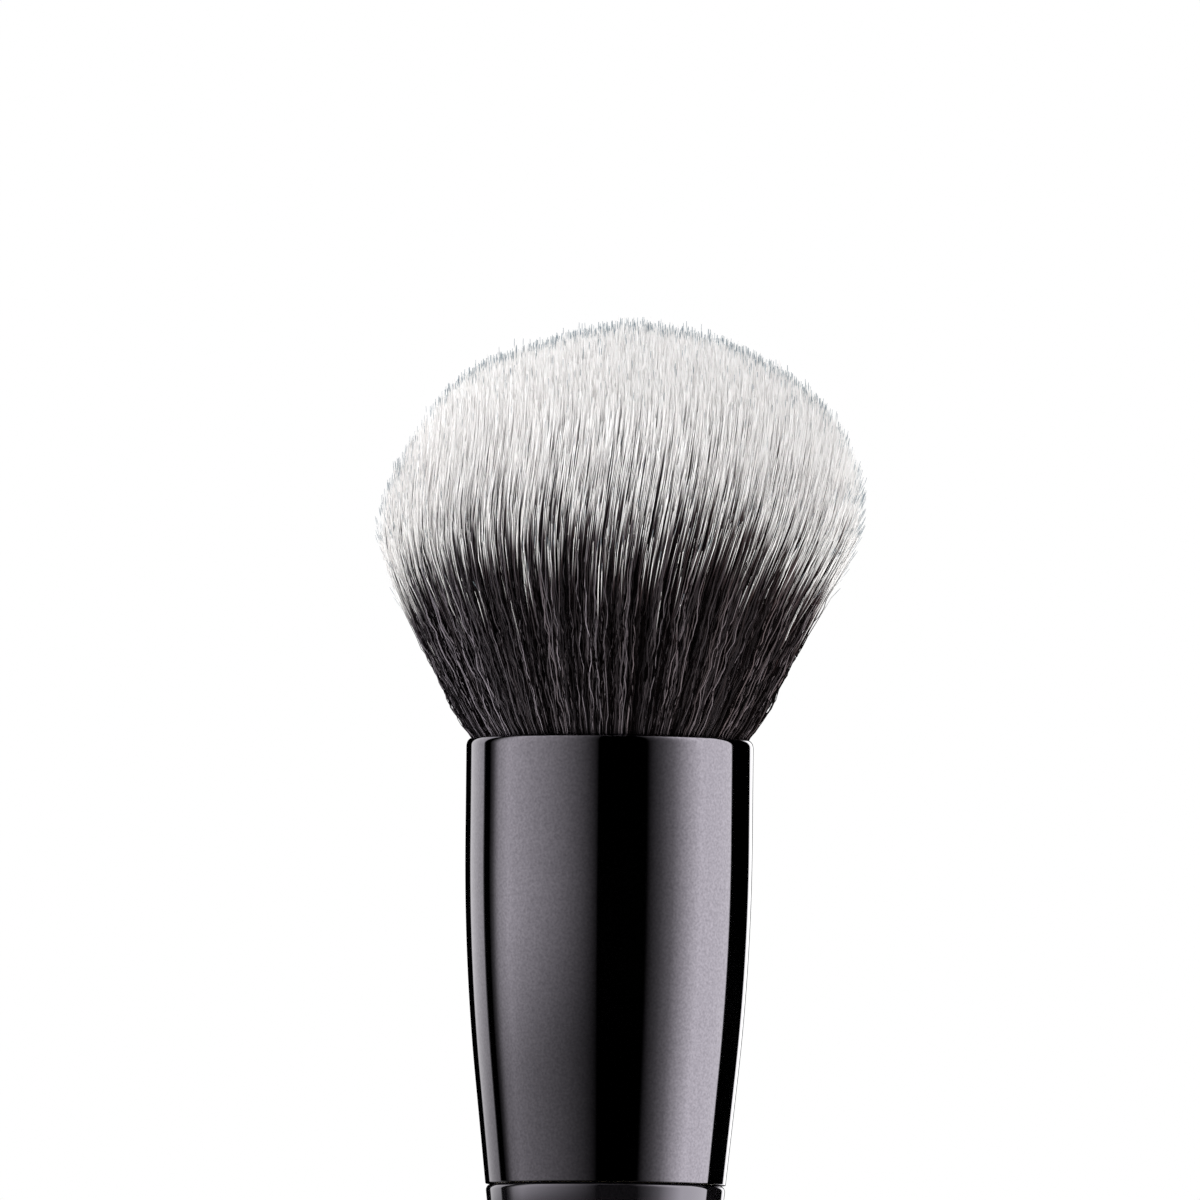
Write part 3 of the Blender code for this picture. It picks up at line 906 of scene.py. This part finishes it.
@dataclass
class Tuft:
    """The tuft: some tens of thousands of filaments that fan out of the ferrule to a dome.

    Every float is an input of the filament tree, and those that end in _mm are millimetres.
    """

    finish: TwoToneFilament
    ferrule: Ferrule
    filament_count: int = 36000
    filament_radius_mm: float = 0.033
    brim_bulge_mm: float = 0.4
    brim_rise_mm: float = 0.8
    fan_slope: float = 0.508
    fan_height_mm: float = 15.0
    fan_ease_mm: float = 5.0
    root_depth_mm: float = 1.5
    shoulder_height_mm: float = 13.0
    dome_height_mm: float = 18.95
    dome_fullness: float = 0.41
    dome_hollow_mm: float = 2.4
    left_rise_mm: float = 1.05
    lean_mm: float = 1.75
    lean_from_mm: float = 9.5
    lean_to_mm: float = 26.0
    short_fall_mm: float = 5.5
    length_scatter_mm: float = 0.4
    clump_rise_mm: float = 0.5
    crest_share: float = 0.2
    dye_side_mm: float = 10.3
    dye_front_mm: float = 13.7
    dye_tilt_mm: float = 0.9
    dye_streak_mm: float = 18.0
    dye_patch_mm: float = 1.2
    dye_blur_mm: float = 1.5
    least_pale_mm: float = 2.2
    point_length_mm: float = 0.8
    spread_mm: float = 2.6
    splay_mm: float = 0.35
    wave_mm: float = 1.0
    wave_length_mm: float = 1.9
    patch_scale: float = 9.0
    lock_scale: float = 1 / 0.075
    lock_pull: float = 0.08
    wisp_scale: float = 1 / 0.0085
    wisp_pull: float = 0.75

    def fan(self, height_mm: float) -> float:
        """Radius of the outermost filament at a height above the mouth, in millimetres."""
        above = max(height_mm, 0.0)
        bulge = self.brim_bulge_mm * (1 - math.exp(-above / self.brim_rise_mm))
        nearness = max(1 - abs(above - self.fan_height_mm) / self.fan_ease_mm, 0.0)
        widening = min(above, self.fan_height_mm) - nearness**3 * self.fan_ease_mm / 6
        return self.mouth_radius_mm + bulge + self.fan_slope * widening

    @property
    def mouth_radius_mm(self) -> float:
        """Radius of the bundle where it passes the ferrule's mouth."""
        bore = self.ferrule.barrel_radius - self.ferrule.wall
        return bore / MM - 2 * self.filament_radius_mm

    def tip_height(self, share: float) -> float:
        """Height above the mouth at which a filament ends, in millimetres."""
        fullness = max(0.0, 1 - share * share) ** self.dome_fullness
        return self.shoulder_height_mm + self.dome_height_mm * fullness

    def lean(self, height_mm: float) -> float:
        """Sideways set of the tuft at a height above the mouth, in millimetres."""
        t = (height_mm - self.lean_from_mm) / (self.lean_to_mm - self.lean_from_mm)
        t = min(max(t, 0.0), 1.0)
        return self.lean_mm * t * t * (3 - 2 * t)

    def build(self) -> None:
        """Build every layer."""
        tree = self.filament_tree()
        material = self.finish.material()
        for layer in Layer:
            self.build_layer(layer, tree, material)

    def build_layer(
        self, layer: Layer, tree: bpy.types.NodeTree, material: bpy.types.Material
    ) -> None:
        """Grow one layer's filaments and keep them as plain meshes.

        Args:
            layer: Which layer.
            tree: The filament tree.
            material: The filaments' finish.
        """
        group = layer.value
        inner_square, outer_square = group.inner_share**2, group.outer_share**2
        steps = [
            math.sqrt(inner_square + (outer_square - inner_square) * number / group.pieces)
            for number in range(group.pieces + 1)
        ]
        for number, (inner, outer) in enumerate(zip(steps, steps[1:]), start=1):
            name = f"filaments_{layer.name.lower()}_{number}"
            count = round(group.density * self.filament_count * (outer**2 - inner**2))
            values = {
                "Filaments": count,
                "Rings": group.rings,
                "Inner Share": inner,
                "Outer Share": outer,
                "Shown Length": group.shown_length,
                "Seed": 10 * list(Layer).index(layer) + number,
                "Filament Radius": group.thickness * self.filament_radius_mm,
                "Material": material,
            }
            piece = self.grown(name, tree, values)
            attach(piece, BODY)
            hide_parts("bristle_tuft")
            LOG.info("%s: %d filaments, %d faces", name, count, len(piece.data.polygons))

    def grown(
        self, name: str, tree: bpy.types.NodeTree, values: Mapping[str, Any]
    ) -> bpy.types.Object:
        """Run the filament tree once and keep its result as a plain mesh.

        Args:
            name: The piece's name.
            tree: The filament tree.
            values: The tree's inputs that differ from its defaults, by name.

        Returns:
            The piece, with no modifier left.
        """
        seedling = place(name + "_seedling", bpy.data.meshes.new(name), None)
        modifier = seedling.modifiers.new("filaments", "NODES")
        modifier.node_group = tree
        for item in tree.interface.items_tree:
            if item.in_out == "INPUT" and item.name in values:
                modifier[item.identifier] = values[item.name]
        depsgraph = bpy.context.evaluated_depsgraph_get()
        evaluated = seedling.evaluated_get(depsgraph)
        mesh = bpy.data.meshes.new_from_object(
            evaluated, preserve_all_data_layers=True, depsgraph=depsgraph
        )
        seedling.modifiers.clear()
        bpy.data.objects.remove(seedling)
        return place(name, mesh, None)

    def tree_sizes(self) -> dict[str, float]:
        """The filament tree's inputs and their usual values, by name."""
        sizes = {
            item.name.removesuffix("_mm").replace("_", " ").title(): getattr(self, item.name)
            for item in fields(self)
            if item.type is float
        }
        return sizes | {
            "Mouth Height": self.ferrule.mouth_height,
            "Mouth Radius": self.mouth_radius_mm,
            "Inner Share": 0.0,
            "Outer Share": 1.0,
            "Shown Length": 10.0,
        }

    def filament_tree(self) -> bpy.types.NodeTree:
        """Build the tree that grows filaments from a count, a range of shares and a seed.

        Returns:
            The geometry node tree.
        """
        tree = bpy.data.node_groups.new("tuft_filaments", "GeometryNodeTree")
        for name in ("Filaments", "Rings", "Seed"):
            tree.interface.new_socket(name, in_out="INPUT", socket_type="NodeSocketInt")
        for name, value in self.tree_sizes().items():
            socket = tree.interface.new_socket(name, in_out="INPUT", socket_type="NodeSocketFloat")
            socket.default_value = value
        tree.interface.new_socket("Material", in_out="INPUT", socket_type="NodeSocketMaterial")
        tree.interface.new_socket("Filaments", in_out="OUTPUT", socket_type="NodeSocketGeometry")
        given = tree.nodes.new("NodeGroupInput").outputs
        known: Known = {socket.name: socket for socket in given if socket.name}

        add_formulas(tree, known, WHICH_FILAMENT)
        for number, names in enumerate(DRAWS):
            whole = isinstance(names, str)
            draw = [
                ("seed", "MULTIPLY_ADD", "Seed", float(len(DRAWS)), float(number)),
                (names if whole else "draw", "DRAW", {"ID": "filament", "Seed": "seed"}),
            ]
            add_formulas(tree, known, draw if whole else draw + [(names, "SPLIT", "draw")])
        add_formulas(tree, known, ROOT)
        for name, points in DRAW_CURVES.items():
            node = add_node(tree, "ShaderNodeFloatCurve", links={"Value": known[name + " draw"]})
            curve = node.mapping.curves[0]
            curve.points[0].location, curve.points[-1].location = points[0], points[-1]
            for point in points[1:-1]:
                curve.points.new(*point)
            for point in curve.points:
                point.handle_type = "AUTO_CLAMPED"
            node.mapping.update()
            known[name] = node.outputs[0]
        add_formulas(tree, known, TIP_AND_DYE_LINE)

        chooser = add_node(
            tree, "GeometryNodeIndexSwitch", {"data_type": "VECTOR"}, {"Index": known["stage"]}
        )
        while len(chooser.index_switch_items) < len(STATIONS):
            chooser.index_switch_items.new()
        for number, terms in enumerate(STATIONS, start=1):
            add_formulas(tree, known, [("station", "JOIN", *terms)])
            tree.links.new(known["station"], chooser.inputs[number])
        known["chosen"] = chooser.outputs[0]
        add_formulas(tree, known, RING_PLACE)
        add_formulas(tree, known, TUBES)
        return tree


@dataclass
class PackedMiddle:
    """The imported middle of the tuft, which the outer filaments hide."""

    finish: PackedFilament
    tuft: Tuft
    share: float = 0.76
    depth_mm: float = 9.0
    steps: int = 24
    segments: int = 72

    def build(self) -> None:
        """Turn it, give it the tuft's lean, and let it stand for the CAD node as well."""
        tuft, mouth = self.tuft, self.tuft.ferrule.mouth_height
        bottom, top = -tuft.root_depth_mm, tuft.tip_height(self.share) - self.depth_mm
        profile = []
        for step in range(self.steps + 1):
            height = bottom + (top - bottom) * step / self.steps
            profile.append((self.share * tuft.fan(height) * MM, mouth + height * MM))
        for step in range(self.steps - 1, -1, -1):
            share = self.share * step / self.steps
            height = tuft.tip_height(share) - self.depth_mm
            profile.append((share * tuft.fan(height) * MM, mouth + height * MM))
        mesh = turned("packed_filaments", profile, self.segments)
        for vert in mesh.vertices:
            vert.co.x += tuft.lean((vert.co.z - mouth) / MM) * MM
        piece = place("packed_filaments", mesh, self.finish.material())
        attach(piece, BODY)
        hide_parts("bristle_tuft")
        LOG.info("packed_filaments: %d faces", len(mesh.polygons))


# Studio


@dataclass
class Studio:
    """Pale floor, soft lamps, and a tent of light panels and flags that only gloss sees.

    Each panel is a row of bearings from the camera, in degrees, with its strength at each.
    """

    panels: tuple[tuple[Pair, ...], ...] = (
        ((-147.0, 1.75), (-120.0, 1.25)),
        ((-111.0, 0.0), (-106.0, 0.25), (-99.0, 1.35), (-88.0, 1.9), (-40.0, 0.76), (-9.0, 0.03)),
        ((30.0, 0.0), (42.0, 0.27), (52.0, 0.66), (64.0, 1.7), (78.0, 2.9), (114.0, 3.0)),
        ((153.0, 2.2), (167.0, 2.2)),
    )
    panel_edge: float = 0.0015
    tent_radius: float = 0.35
    tent_bottom: float = 0.5 * MM
    tent_top: float = 0.8
    tent_segments: int = 96
    bottom_share: float = 0.1
    dark_radius: float = 0.05
    low_height: float = 0.057
    full_height: float = 0.130
    low_share: float = 0.42
    fill_strength: float = 0.9
    floor_half: float = 6.0
    floor_cells: int = 8
    floor_colour: str = "f2f1ef"
    floor_roughness: float = 0.8
    white_from: float = 0.25
    white_to: float = 0.9
    lamp_target: tuple[float, float, float] = (0.0, 0.0, 0.15)

    def build(self) -> None:
        """Build world, floor, tent and lamps."""
        self.build_world()
        self.build_floor()
        self.build_tent()
        self.add_lamp("key_softbox", (-0.78, -0.58, 0.62), 0.45, 5.8)
        self.add_lamp("left_softbox", (-0.95, -0.25, 0.20), 0.45, 1.6)
        self.add_lamp("right_softbox", (0.80, -0.45, 0.35), 0.45, 1.2)
        self.add_lamp("top_softbox", (-0.05, 0.10, 1.05), 0.5, 11.0)

    def add_shown(self, tree: bpy.types.NodeTree) -> Known:
        """Add a strength of 1 for what camera, mirror and glass see, and the fill otherwise.

        Args:
            tree: The tree to add the nodes to.

        Returns:
            The strength as "shown", with the light path's sockets under their own names.
        """
        known: Known = dict(add_node(tree, "ShaderNodeLightPath").outputs.items())
        formulas = (
            ("mirrored", "MAXIMUM", "Is Camera Ray", "Is Glossy Ray"),
            ("seen", "MAXIMUM", "mirrored", "Is Transmission Ray"),
            ("shown", "RANGE", "seen", 0.0, 1.0, self.fill_strength, 1.0),
        )
        add_formulas(tree, known, formulas)
        return known

    def build_world(self) -> None:
        """White round about, and a soft fill for the object."""
        world = bpy.data.worlds.new("white_studio")
        world.use_nodes = True
        tree = world.node_tree
        background = tree.nodes["Background"].inputs
        background["Color"].default_value = (1.0, 1.0, 1.0, 1.0)
        tree.links.new(self.add_shown(tree)["shown"], background["Strength"])
        bpy.context.scene.world = world

    def build_floor(self) -> None:
        """A pale matt floor that runs out into white away from the brush."""
        bm = bmesh.new()
        cells = self.floor_cells
        bmesh.ops.create_grid(bm, x_segments=cells, y_segments=cells, size=self.floor_half)
        mesh = bpy.data.meshes.new("floor")
        bm.to_mesh(mesh)
        bm.free()
        surface = {
            "Base Color": srgb(self.floor_colour),
            "Roughness": self.floor_roughness,
            "Specular IOR Level": 0.0,
        }
        material = new_finish("pale_floor", (), surface)
        tree = material.node_tree
        known = self.add_shown(tree)
        known["matt"] = tree.nodes["Principled BSDF"].outputs[0]
        formulas = (
            ON_OBJECT,
            ("distance", "VECTOR LENGTH", "object"),
            ("far out", "EASE", "distance", self.white_from, self.white_to),
            ("white", "MAXIMUM", "far out", "Is Glossy Ray"),
            ("glow", "ShaderNodeEmission", {"Strength": "shown"}),
            ("mixed", "ShaderNodeMixShader", "white", "matt", "glow"),
        )
        add_formulas(tree, known, formulas)
        tree.links.new(known["mixed"], tree.nodes["Material Output"].inputs[0])
        place("floor", mesh, material)

    def build_tent(self) -> None:
        """A tube with a bottom round the brush, which lights nothing and shows only in gloss."""
        bm = bmesh.new()
        bmesh.ops.create_cone(
            bm,
            cap_ends=False,
            segments=self.tent_segments,
            radius1=self.tent_radius,
            radius2=self.tent_radius,
            depth=self.tent_top - self.tent_bottom,
            matrix=Matrix.Translation((0.0, 0.0, (self.tent_top + self.tent_bottom) / 2)),
        )
        bmesh.ops.create_circle(
            bm,
            cap_ends=True,
            segments=self.tent_segments,
            radius=self.tent_radius,
            matrix=Matrix.Translation((0.0, 0.0, self.tent_bottom)),
        )
        mesh = bpy.data.meshes.new("reflection_tent")
        bm.to_mesh(mesh)
        bm.free()
        tent = place("reflection_tent", mesh, self.tent_material())
        for ray in ("camera", "diffuse", "transmission", "volume_scatter", "shadow"):
            setattr(tent, "visible_" + ray, False)

    def tent_material(self) -> bpy.types.Material:
        """Build the tent's glow: its panels, weaker low on the left and darkest under the brush.

        Returns:
            The material.
        """
        material = bpy.data.materials.new("light_panels_and_flags")
        material.use_nodes = True
        tree = material.node_tree
        tree.nodes.clear()
        known: Known = {}
        strongest = max(strength for panel in self.panels for _, strength in panel)
        weakest = self.bottom_share * strongest
        bearings = (
            ON_OBJECT,
            (("rightward", "away", "height"), "SPLIT", "object"),
            ("nearer", "MULTIPLY", "away", -1.0),
            ("bearing", "ARCTAN2", "rightward", "nearer"),
            ("turn", "RANGE", "bearing", -math.pi, math.pi),
        )
        add_formulas(tree, known, bearings)
        node = add_node(tree, "ShaderNodeValToRGB", links={0: known["turn"]})
        stops = node.color_ramp.elements
        while len(stops) > 1:
            stops.remove(stops[-1])
        stops[0].position, stops[0].color = 0.0, (0.0, 0.0, 0.0, 1.0)
        for panel in self.panels:
            spots = [(bearing / 360 + 0.5, strength / strongest) for bearing, strength in panel]
            before, after = spots[0][0] - self.panel_edge, spots[-1][0] + self.panel_edge
            for spot, level in [(before, 0.0), *spots, (after, 0.0)]:
                stops.new(spot).color = (level, level, level, 1.0)
        known["panels"] = node.outputs[0]
        glow = (
            ("rising", "EASE", "height", self.low_height, self.full_height, self.low_share, 1.0),
            ("on the left", "LESS_THAN", "rightward", 0.0),
            ("dimmed", "BLEND", "on the left", 1.0, "rising"),
            ("flat", "JOIN", "rightward", "away"),
            ("distance", "VECTOR LENGTH", "flat"),
            ("bottom", "EASE", "distance", self.dark_radius, self.tent_radius, weakest, strongest),
            ("strength", "MULTIPLY", "dimmed", "bottom"),
            ("glow", "ShaderNodeEmission", {"Color": "panels", "Strength": "strength"}),
            ((), "ShaderNodeOutputMaterial", "glow"),
        )
        add_formulas(tree, known, glow)
        return material

    def add_lamp(
        self, name: str, position: tuple[float, float, float], size: float, power: float
    ) -> None:
        """Add a soft square lamp that looks at the tuft and shows in no mirror.

        Args:
            name: The lamp's name.
            position: Where it stands.
            size: Its side.
            power: Its power in watts.
        """
        data = bpy.data.lights.new(name, "AREA")
        data.shape = "SQUARE"
        data.size = size
        data.energy = power
        lamp = bpy.data.objects.new(name, data)
        bpy.context.scene.collection.objects.link(lamp)
        lamp.location = position
        aim = Vector(self.lamp_target) - Vector(position)
        lamp.rotation_euler = aim.to_track_quat("-Z", "Y").to_euler()
        lamp.visible_glossy = False


@dataclass(frozen=True)
class Viewpoint:
    """The photograph's camera: a long lens, a little below the middle of the frame."""

    target: tuple[float, float, float] = (-0.88 * MM, 0.0, 148.77 * MM)
    distance: float = 2.0
    elevation: float = math.radians(-2.97)
    roll: float = math.radians(0.586)
    frame_width: float = 92.3 * MM
    sensor: float = 36.0
    clip: Pair = (0.1, 20.0)

    def build(self) -> None:
        """Set up the camera and the view transform."""
        data = bpy.data.cameras.new("camera")
        data.sensor_width = self.sensor
        data.lens = self.sensor * self.distance / self.frame_width
        data.clip_start, data.clip_end = self.clip
        camera = bpy.data.objects.new("camera", data)
        bpy.context.scene.collection.objects.link(camera)
        back = Vector((0.0, -math.cos(self.elevation), math.sin(self.elevation)))
        look = (-back).to_track_quat("-Z", "Y").to_matrix().to_4x4()
        camera.matrix_world = (
            Matrix.Translation(Vector(self.target) + back * self.distance)
            @ look
            @ Matrix.Rotation(self.roll, 4, "Z")
        )
        bpy.context.scene.camera = camera
        bpy.context.scene.view_settings.view_transform = "Standard"


def main() -> None:
    """Build the studio and the brush, piece by piece."""
    logging.basicConfig(level=logging.INFO, format="%(name)s: %(message)s")
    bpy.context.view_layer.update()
    Viewpoint().build()
    Studio().build()

    ferrule = Ferrule(BlackAnodisedAluminium())
    ferrule.build()
    Handle(BlackLacqueredBeech(), ferrule).build()
    RootFixings(
        SetEpoxy("set_epoxy_adhesive", "b9a67a", "d9cfae"),
        SetEpoxy("cast_epoxy_resin", "6e5a3c", "94805a"),
        WaxedThread(),
    ).dress()
    tuft = Tuft(TwoToneFilament(), ferrule)
    tuft.build()
    PackedMiddle(PackedFilament(), tuft).build()


if __name__ == "__main__":
    main()
